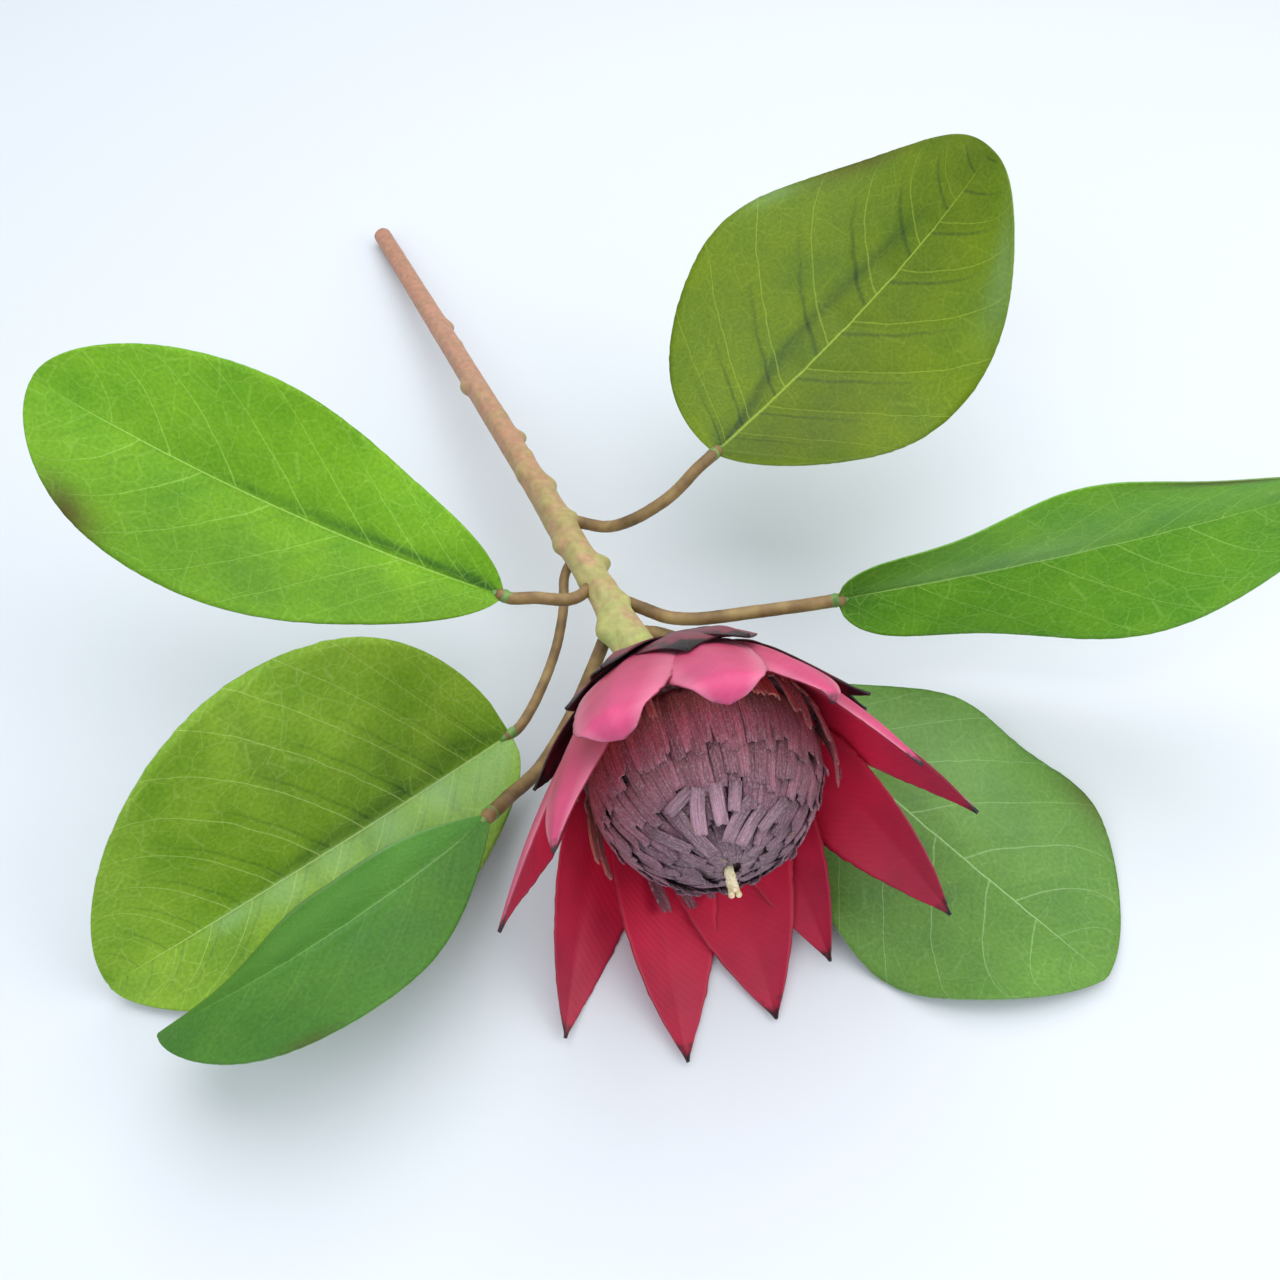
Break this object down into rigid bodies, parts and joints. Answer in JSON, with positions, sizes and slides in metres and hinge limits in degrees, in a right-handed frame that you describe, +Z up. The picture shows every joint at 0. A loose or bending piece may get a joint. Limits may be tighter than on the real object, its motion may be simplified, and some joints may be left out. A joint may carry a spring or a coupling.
{
  "type": "protea flower stem",
  "caption": "Artificial protea on a cut stem lying down: open head of pointed crimson bracts round a dome of flat mauve styles, with broad waved leaves on bent stalks.",
  "frame": {"origin": "middle of the bounding box, at its bottom, on the surface the stem lies on", "axes": "+Z up from the surface; -Y the way the flower faces; +X to the right of someone facing the flower"},
  "size_m": [0.3931, 0.4016, 0.1287],
  "materials": {
    "stem": "moulded, matt, tan-pink at the cut end to yellow-green at the neck",
    "stalk": "matt olive-brown coated wire",
    "leaf_bright": "printed and pressed polyester cloth, bright green",
    "leaf_olive": "printed and pressed polyester cloth, olive green",
    "leaf_blue": "printed and pressed polyester cloth, blue-green",
    "dome": "flat fibrous strips, dusty mauve",
    "stigma": "cream fibres, matt",
    "bract": "stiffened crimson cloth, dark at the tips",
    "outer_bract": "stiffened cloth, dark wine to black at the edges"
  },
  "bodies": {
    "root": {"stem": "stem", "stalk_1": "stalk", "stalk_2": "stalk", "stalk_3": "stalk", "stalk_4": "stalk", "stalk_5": "stalk", "stalk_6": "stalk", "leaf_1": "leaf_bright", "leaf_2": "leaf_olive", "leaf_3": "leaf_blue", "leaf_4": "leaf_olive", "leaf_5": "leaf_bright", "leaf_6": "leaf_blue", "dome": "dome", "stigma": "stigma", "inner_bracts": "bract", "outer_bracts": "outer_bract"}
  },
  "joints": []
}
